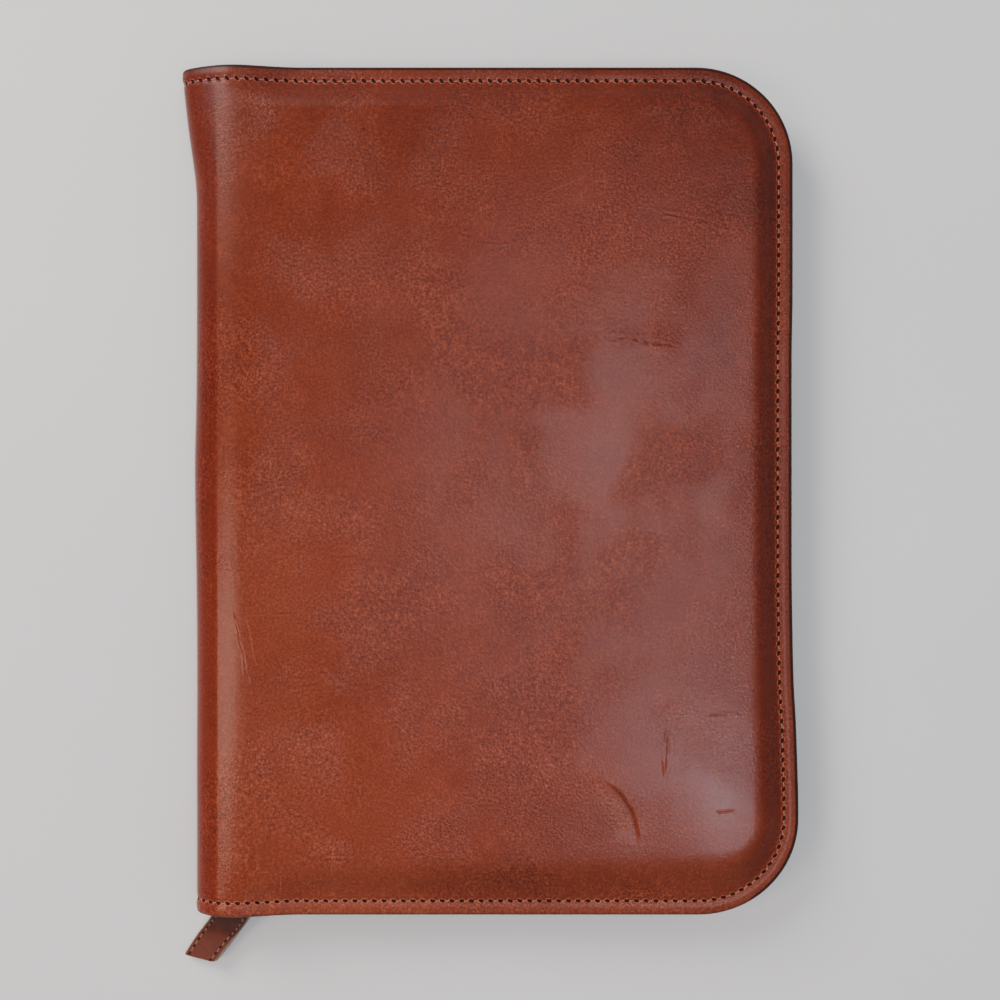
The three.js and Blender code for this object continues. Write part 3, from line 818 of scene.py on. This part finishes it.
def repeat_tree():
    """Geometry Nodes that set copies of a piece along a path, facing as the path's points say."""
    tree = bpy.data.node_groups.new("pieces_on_path", "GeometryNodeTree")
    face = tree.interface
    face.new_socket("Path", in_out="INPUT", socket_type="NodeSocketGeometry")
    for name, kind, value in (
        ("Count", "NodeSocketInt", 10),
        ("Piece", "NodeSocketObject", None),
        ("Slant", "NodeSocketFloat", 0.0),
        ("Slant Spread", "NodeSocketFloat", 0.0),
        ("Size Spread", "NodeSocketFloat", 0.0),
        ("Seed", "NodeSocketInt", 1),
        ("Finish", "NodeSocketMaterial", None),
    ):
        socket = face.new_socket(name, in_out="INPUT", socket_type=kind)
        if value is not None:
            socket.default_value = value
    face.new_socket("Pieces", in_out="OUTPUT", socket_type="NodeSocketGeometry")
    graph = Graph(tree)
    inputs = tree.nodes.new("NodeGroupInput")
    given = {socket.name: Field(graph, socket) for socket in inputs.outputs}
    curve = graph.node("GeometryNodeMeshToCurve", {}, {0: given["Path"]})
    spread = graph.node("GeometryNodeResampleCurve", {}, {"Curve": curve, "Count": given["Count"]})
    facing = graph.node("GeometryNodeInputNamedAttribute", {"data_type": "FLOAT_VECTOR"}, {"Name": "facing"})
    tangent = graph.node("GeometryNodeInputTangent")
    up = graph.node("FunctionNodeAlignRotationToVector", {"axis": "Z"}, {"Vector": facing})
    ahead = graph.node("FunctionNodeAlignRotationToVector", {"axis": "X", "pivot_axis": "Z"},
                       {"Rotation": up, "Vector": tangent})
    jitter = graph.node("FunctionNodeRandomValue", {"data_type": "FLOAT"},
                        {2: -1.0, 3: 1.0, "Seed": given["Seed"]}, output=1)
    angle = given["Slant"] + jitter * given["Slant Spread"]
    turn = graph.node("ShaderNodeCombineXYZ", {}, {2: angle})
    euler = graph.node("FunctionNodeEulerToRotation", {}, {0: turn})
    rotation = graph.node("FunctionNodeRotateRotation", {"rotation_space": "LOCAL"}, {0: ahead, 1: euler})
    size = jitter * given["Size Spread"] + 1.0
    info = graph.node("GeometryNodeObjectInfo", {}, {0: given["Piece"]}, output="Geometry")
    copies = graph.node("GeometryNodeInstanceOnPoints", {},
                        {"Points": spread, "Instance": info, "Rotation": rotation, "Scale": size})
    real = graph.node("GeometryNodeRealizeInstances", {}, {0: copies})
    finished = graph.node("GeometryNodeSetMaterial", {}, {"Geometry": real, "Material": given["Finish"]})
    output = tree.nodes.new("NodeGroupOutput")
    tree.links.new(finished.socket, output.inputs[0])
    return tree


def repeated(name, path, piece, material, count, slant=0.0, slant_spread=0.0, size_spread=0.0, seed=1):
    """Runs the path tree and keeps its result as one plain mesh."""
    modifier = path.modifiers.new("repeat", "NODES")
    modifier.node_group = REPEAT
    values = {"Count": count, "Piece": piece, "Slant": slant, "Slant Spread": slant_spread,
              "Size Spread": size_spread, "Seed": seed, "Finish": material}
    for item in REPEAT.interface.items_tree:
        if item.in_out == "INPUT" and item.name in values:
            modifier[item.identifier] = values[item.name]
    bpy.context.view_layer.update()
    evaluated = path.evaluated_get(bpy.context.evaluated_depsgraph_get())
    mesh = bpy.data.meshes.new_from_object(evaluated)
    bpy.data.objects.remove(path)
    bpy.data.objects.remove(piece)
    mesh.shade_smooth()
    return make_object(name, mesh, material)


def bridged(work, rings, closed=False):
    """Faces between rings of vertices, with the first and last ring filled unless they close a loop."""
    count = len(rings[0])
    for near, far in zip(rings, rings[1:] + rings[:1] if closed else rings[1:]):
        for k in range(count):
            work.faces.new((near[k], far[k], far[(k + 1) % count], near[(k + 1) % count]))
    if not closed:
        work.faces.new(rings[0])
        work.faces.new(list(reversed(rings[-1])))


def cut_corners(across, up):
    """The corners of a rectangle from -1 to 1 with its own corners cut off."""
    quarter = ((1, up), (across, 1), (-across, 1), (-1, up))
    return [(-a, -b) for a, b in quarter] + list(quarter)


def closed_piece(name, work, rings, material):
    bridged(work, rings)
    bmesh.ops.recalc_face_normals(work, faces=work.faces)
    return make_object(name, work, material)


def thread_piece(length, radius, sink, material):
    """One stitch: a short thread that rises from its hole and dives into the next."""
    work = bmesh.new()
    rings = []
    stations = 7
    sides = 6
    for i in range(stations):
        share = i / (stations - 1) * 2 - 1
        rise = -sink * share ** 4 - sink * 0.3
        swell = radius * (1 - 0.25 * share ** 2)
        ring = []
        for k in range(sides):
            angle = math.tau * k / sides
            ring.append(work.verts.new((
                share * length / 2 * MM,
                math.cos(angle) * swell * MM,
                (rise + math.sin(angle) * swell * 0.8) * MM,
            )))
        rings.append(ring)
    return closed_piece("thread_piece", work, rings, material)


def thread_finish(name, base, light):
    thread = Finish(name, roughness=0.55)
    twist = thread.noise(0.5, detail=2)
    thread.set("Base Color", thread.blend(twist.step(0.35, 0.7), base, light))
    thread.bump(twist * 0.05)
    return thread.material


def tape_finish(name):
    """Woven zip tape: a fine twill in dark brown."""
    tape = Finish(name, roughness=0.85, Sheen_Weight=0.15)
    x, y, z = [tape.axis(i) * 1000.0 for i in range(3)]
    warp = ((x + y) * (math.tau / 0.7)).math("SINE") * 0.5 + 0.5
    weft = (z * (math.tau / 0.6) + (x - y) * 2.0).math("SINE") * 0.5 + 0.5
    weave = warp * weft
    colour = tape.blend(weave, (0.018, 0.0075, 0.0045), (0.055, 0.024, 0.015))
    tape.set("Base Color", colour)
    tape.bump(weave * 0.08)
    return tape.material


def brass_finish(name):
    """Antique brass: dull, browned in its hollows, brighter where it rubs."""
    brass = Finish(name, metallic=1.0, roughness=0.38)
    wear = brass.noise(1.6, detail=4, roughness=0.65)
    tone = brass.noise(7, detail=2)
    colour = brass.blend(wear.step(0.35, 0.7), (0.16, 0.095, 0.032), (0.42, 0.28, 0.105))
    brass.set("Base Color", brass.tint(colour, (0.75, 0.7, 0.62), tone.step(0.4, 0.7)))
    brass.set("Roughness", wear * 0.3 + 0.25)
    brass.bump(wear * 0.03)
    return brass.material


def tooth_piece(material):
    """One zip tooth, from its tape across the chain's middle, narrower at its nose."""
    work = bmesh.new()
    sections = ((-0.35, 1.25, 2.4), (1.3, 1.25, 2.4), (2.2, 0.95, 1.9), (3.3, 1.05, 1.7), (3.7, 0.8, 1.2))
    rings = []
    for height, length, thickness in sections:
        ring = []
        for a, b in cut_corners(0.6, 0.6):
            ring.append(work.verts.new((a * length / 2 * MM, height * MM, b * thickness / 2 * MM)))
        rings.append(ring)
    return closed_piece("tooth_piece", work, rings, material)


def zip_path(offset, height):
    """The chain's route from the head stop round the zip side to the slider, at a height from the middle."""
    reach = CORNER - CHAIN_INSET
    start_x, end_x = CHAIN_START - WIDTH / 2, CHAIN_END - WIDTH / 2
    head_y = HEIGHT / 2 - CHAIN_INSET
    places, facings = [], []

    def add(x, y, out):
        places.append((HIDE.stretched(np.float64(x), np.float64(y)), y, MID + height))
        facings.append((*out, 0.0))

    for x in np.linspace(start_x + offset, CORNER_X, 60):
        add(x, head_y, (0, 1))
    for turn in np.linspace(0, math.pi / 2, 22)[1:]:
        sine, cosine = math.sin(turn), math.cos(turn)
        add(CORNER_X + reach * sine, CORNER_Y + reach * cosine, (sine, cosine))
    for y in np.linspace(CORNER_Y, -CORNER_Y, 90)[1:]:
        add(CORNER_X + reach, y, (1, 0))
    for turn in np.linspace(math.pi / 2, 0, 22)[1:]:
        sine, cosine = math.sin(turn), math.cos(turn)
        add(CORNER_X + reach * sine, -CORNER_Y - reach * cosine, (sine, -cosine))
    for x in np.linspace(CORNER_X, end_x + offset, 60)[1:]:
        add(x, -head_y, (0, -1))
    return np.array(places), np.array(facings)


def make_teeth(material):
    """Both rows of teeth, half a pitch apart."""
    rows = []
    for side, offset in ((1, 0.0), (-1, TOOTH_PITCH / 2)):
        places, facings = zip_path(offset, side * CHAIN_HALF)
        length = np.linalg.norm(np.diff(places, axis=0), axis=1).sum()
        path = path_mesh("tooth_path", places, facings, closed=False)
        piece = tooth_piece(material)
        if side > 0:
            piece.data.transform(Matrix.Diagonal((1, -1, 1, 1)))
            piece.data.flip_normals()
        name = f"teeth_{'front' if side > 0 else 'back'}"
        rows.append(repeated(name, path, piece, material, int(length / TOOTH_PITCH)))
    return rows


def pull_sections():
    """The pull's sections from root to tip: middles, side vectors to the edge and unit facings."""
    low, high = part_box("zip_slider")
    bridge = np.array([(low.x + high.x) / 2 / MM, low.y / MM + 0.6, MID])
    ahead = np.array([-math.sin(PULL_HEADING), -math.cos(PULL_HEADING), 0.0])
    across = np.array([math.cos(PULL_HEADING), -math.sin(PULL_HEADING), 0.0])
    up = np.array([0.0, 0.0, 1.0])
    tip_half = PULL_WIDTH * PULL_WIDTHS[-1] / 2
    tip_height = PULL_REST + PULL_LAYER * math.cos(PULL_TWIST[1]) + tip_half * math.sin(PULL_TWIST[1])
    from_tip = np.array([0.9, 0.7, 0.5, 0.3, 0.15, 0.05, 0.0]) * PULL_CORNER / PULL_RUN
    shares = np.concatenate([np.linspace(PULL_ROOT / PULL_RUN, 1 - 1.5 / PULL_RUN, 52), 1 - from_tip])
    drops = smooth_read((PULL_STATIONS, PULL_DROPS), shares, 0.06) * (MID - tip_height)
    middles = bridge + np.outer(shares * PULL_RUN, ahead) - np.outer(drops, up)
    slopes = np.gradient(middles, axis=0)
    slants = np.tan(np.interp(shares, (0, 1), PULL_SLANT))
    twists = np.interp(shares, (0, 1), PULL_TWIST)
    halves = smooth_read((PULL_STATIONS, PULL_WIDTHS), shares, 0.05) * PULL_WIDTH / 2
    past_corner = np.clip(1 - (1 - shares) * PULL_RUN / PULL_CORNER, 0, 1)
    halves -= PULL_CORNER * (1 - np.sqrt(1 - past_corner ** 2))
    level = across - slants[:, None] * ahead
    sides = (level * np.cos(twists)[:, None] + up * np.sin(twists)[:, None]) * halves[:, None]
    facings = np.cross(slopes, sides)
    facings /= np.linalg.norm(facings, axis=1)[:, None]
    return bridge, ahead, across, middles, sides, facings, halves


def strap_finish(name):
    """Darker stitched leather with a raw, layered edge; painted shade at the root and in the holes, painted
    highlight on the lips and painted light on the raw edge.
    """
    strap = Finish(name, roughness=0.42, Specular_IOR_Level=0.25)
    to_tip, off_seam, edge = strap.attribute("strap")
    cloudy = strap.noise(9, detail=4, roughness=0.6)
    fine = strap.noise(1.2, detail=3)
    # Mottled, and darker towards the root: painted shade where the strap goes under the cover's edge
    light = cloudy * 0.8 + to_tip.step(26, 4) * 0.5 - 0.1
    colour = strap.blend(light.step(0.1, 0.9), (0.042, 0.0060, 0.0030), (0.110, 0.0210, 0.0095))
    pebble = strap.cells(0.8, "DISTANCE_TO_EDGE").step(0.0, 0.3)
    hole, lip = needle_holes(to_tip, off_seam, (1.0, 0.0), 1.5, 1.0, PULL_PITCH)
    on_face = 1.0 - edge.clamped()
    # A painted highlight lightens the lips, and painted shade darkens the holes
    colour = strap.tint(colour, (1.5, 1.7, 1.7), lip * on_face * 0.7)
    colour = strap.tint(colour, (0.10, 0.07, 0.07), hole * on_face)
    # The raw edge is lighter, partly its own colour and partly painted light
    raw = strap.blend(fine, (0.18, 0.115, 0.080), (0.40, 0.29, 0.22))
    strap.set("Base Color", strap.blend(edge.clamped(), colour, raw))
    strap.set("Roughness", edge * 0.2 + cloudy * 0.25 + 0.3)
    strap.bump(pebble * 0.03 + fine * 0.06 + (lip * 0.12 - hole * 0.7) * on_face)
    return strap.material


# The pull's section, once for each side: distance from its edge, share of its layer, raw edge or face
PULL_PROFILE = (
    (PULL_SEAM + 1.2, 1.0, 0.0),
    (PULL_SEAM, 1.0, 0.0),
    (0.9, 1.0, 0.0),
    (0.3, 0.92, 0.35),
    (0.0, 0.68, 1.0),
    (0.0, 0.14, 1.0),
    (0.16, 0.0, 1.0),
    (0.0, -0.14, 1.0),
    (0.0, -0.68, 1.0),
    (0.3, -0.92, 0.35),
    (0.9, -1.0, 0.0),
    (PULL_SEAM, -1.0, 0.0),
    (PULL_SEAM + 1.2, -1.0, 0.0),
)


def pull_loop(work, layer, bridge, ahead, across):
    """The narrow leather loop that holds the pull to the slider's bridge."""
    rings = []
    for i in range(PULL_LOOP_STEPS):
        angle = math.tau * i / PULL_LOOP_STEPS
        along, over = [math.copysign(abs(v) ** (2 / 3), v) for v in (math.cos(angle), math.sin(angle))]
        centre = bridge + ahead * PULL_LOOP[0] * along + np.array([0, 0, PULL_LOOP[1] * over])
        facing = ahead * math.cos(angle) + np.array([0, 0, math.sin(angle)])
        ring = []
        for a, b in cut_corners(0.9, 0.7):
            point = centre + across * a * PULL_LOOP_WIDTH / 2 + facing * b * PULL_LAYER / 2
            vert = work.verts.new(point * MM)
            vert[layer] = (0.0, 5.0, float(abs(a) == 1))
            ring.append(vert)
        rings.append(ring)
    bridged(work, rings, closed=True)


def make_pull(material, thread):
    """The double strap with its loop, and two rows of stitches along its edges."""
    bridge, ahead, across, middles, sides, facings, halves = pull_sections()
    seams, to_tips = {}, {}
    for side in (-1, 1):
        seams[side] = middles + sides * side * (1 - PULL_SEAM / halves)[:, None]
        steps = np.linalg.norm(np.diff(seams[side], axis=0), axis=1)
        to_tips[side] = np.concatenate([np.cumsum(steps[::-1])[::-1], [0.0]])
    section = [(-1, *row) for row in PULL_PROFILE] + [(1, *row) for row in reversed(PULL_PROFILE)]
    work = bmesh.new()
    layer = work.verts.layers.float_vector.new("strap")
    rings = []
    for i, (middle, side_vector, facing, half) in enumerate(zip(middles, sides, facings, halves)):
        ring = []
        for side, margin, face, edge in section:
            point = middle + side_vector * side * (1 - margin / half) + facing * face * PULL_LAYER
            vert = work.verts.new(point * MM)
            vert[layer] = (to_tips[side][i], margin - PULL_SEAM, edge)
            ring.append(vert)
        rings.append(ring)
    bridged(work, rings)
    pull_loop(work, layer, bridge, ahead, across)
    bmesh.ops.recalc_face_normals(work, faces=work.faces)
    strap = make_object("pull", work, material)
    strap.data.shade_smooth()
    stitches = []
    for side in (-1, 1):
        row = seams[side] + facings * PULL_LAYER
        count = int(to_tips[side][0] / PULL_PITCH)
        samples = np.linspace(count, 1, 80) * PULL_PITCH
        order = to_tips[side][::-1]
        line = np.stack([np.interp(samples, order, row[::-1, k]) for k in range(3)], axis=1)
        facing = np.stack([np.interp(samples, order, facings[::-1, k]) for k in range(3)], axis=1)
        path = path_mesh("pull_seam", line, facing, closed=False)
        name = f"pull_stitches_{'left' if side < 0 else 'right'}"
        piece = thread_piece(2.7, 0.3, 0.3, thread)
        stitches.append(repeated(name, path, piece, thread, count,
                                 slant=0.12, slant_spread=0.1, seed=4 + side))
    return strap, stitches


def bevelled_copy(node, name, width, material):
    """A merged copy of a CAD node with its edges softened."""
    work = bmesh.new()
    work.from_mesh(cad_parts[node].data)
    bmesh.ops.remove_doubles(work, verts=work.verts, dist=1e-6)
    bmesh.ops.dissolve_limit(work, angle_limit=math.radians(1), verts=work.verts, edges=work.edges)
    copy = make_object(name, work, material)
    bevel = copy.modifiers.new("bevel", "BEVEL")
    bevel.width = width * MM
    bevel.segments = 2
    bevel.limit_method = "ANGLE"
    bevel.angle_limit = math.radians(40)
    copy.data.shade_smooth()
    return copy


def floor_finish():
    floor = Finish("floor_finish", roughness=0.75)
    tone = floor.noise(120, detail=3)
    floor.set("Base Color", floor.blend(tone, (0.78, 0.775, 0.76), (0.84, 0.835, 0.82)))
    return floor.material


def make_floor():
    work = bmesh.new()
    bmesh.ops.create_grid(work, x_segments=2, y_segments=2, size=3.0)
    floor = make_object("floor", work, floor_finish())


def area_light(name, place, size, radiance, colour, roll=0.0):
    """A rectangular light given by its radiance, so that its reflection stays as bright at any size."""
    data = bpy.data.lights.new(name, "AREA")
    data.shape = "RECTANGLE"
    data.size, data.size_y = size
    data.energy = radiance * math.pi * size[0] * size[1]
    data.color = colour
    light = bpy.data.objects.new(name, data)
    light.location = place
    turn = (-Vector(place)).to_track_quat("-Z", "Y")
    light.rotation_euler = (turn @ Matrix.Rotation(roll, 3, "Z").to_quaternion()).to_euler()
    bpy.context.scene.collection.objects.link(light)


def mirrored_place(case_x, case_y, height=1.5):
    """Where a light shines, in metres, so that the flat cover shows it at a place in millimetres."""
    share = (height / MM - 2 * MID) / (CAMERA_HEIGHT - 2 * MID)
    spots = [case + (case - aim) * share for case, aim in zip((case_x, case_y), CAMERA_AIM)]
    return spots[0] * MM, spots[1] * MM, height


def make_lights():
    world = bpy.data.worlds.new("studio")
    bpy.context.scene.world = world
    world.use_nodes = True
    world.node_tree.nodes["Background"].inputs[0].default_value = (0.95, 0.97, 1.0, 1.0)
    world.node_tree.nodes["Background"].inputs[1].default_value = 0.54
    area_light("key", (-0.9, 0.9, 0.95), (0.7, 0.8), 11.0, (1.0, 0.98, 0.95))
    area_light("window", mirrored_place(93, -124), (0.11, 0.25), 29, (0.84, 0.86, 1.0))
    area_light("glow", mirrored_place(66, 8), (0.34, 0.7), 3.2, (0.90, 0.93, 1.0))
    area_light("streak", mirrored_place(55, 23), (0.24, 0.03), 56, (0.84, 0.88, 1.0), roll=math.radians(35))
    area_light("patch", mirrored_place(51, 81), (0.05, 0.11), 30, (0.92, 0.94, 1.0))
    area_light("spine_light", (-0.82, -0.24, 1.15), (0.44, 0.52), 7.0, (1.0, 0.70, 0.58))


put_camera()
REPEAT = repeat_tree()
HIDE_LEATHER = hide_finish("hide_leather_finish")
STRAP_LEATHER = strap_finish("pull_leather_finish")
HIDE_THREAD = thread_finish("hide_thread_finish", (0.20, 0.055, 0.034), (0.42, 0.17, 0.13))
PULL_THREAD = thread_finish("pull_thread_finish", (0.16, 0.05, 0.034), (0.36, 0.16, 0.12))
TAPE = tape_finish("zip_tape_finish")
BRASS = brass_finish("zip_brass_finish")

hide, surface = make_hide(HIDE_LEATHER)
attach(hide, "root")
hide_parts("leather_wrap")

seam_places, seam_facings, seam_total = seam_path(*surface)
seam = path_mesh("seam", seam_places, seam_facings, closed=True)
seam_thread = thread_piece(2.9, 0.32, 0.3, HIDE_THREAD)
stitches = repeated("seam_stitches", seam, seam_thread, HIDE_THREAD, math.ceil(seam_total / STITCH_PITCH),
                    slant=0.14, slant_spread=0.08, size_spread=0.06)
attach(stitches, "root")

for row in make_teeth(BRASS):
    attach(row, "root")
    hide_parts("zip_teeth")

for node in ("zip_tape_front", "zip_tape_back"):
    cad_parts[node].data.materials.clear()
    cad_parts[node].data.materials.append(TAPE)

for node in ("zip_slider", "zip_stop_head", "zip_stop_tail_front", "zip_stop_tail_back"):
    piece = bevelled_copy(node, f"{node}_rounded", 0.22, BRASS)
    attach(piece, "root")
    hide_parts(node)

pull, pull_stitches = make_pull(STRAP_LEATHER, PULL_THREAD)
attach(pull, "root")
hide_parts("pull_strap")
for row in pull_stitches:
    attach(row, "root")

make_floor()
make_lights()
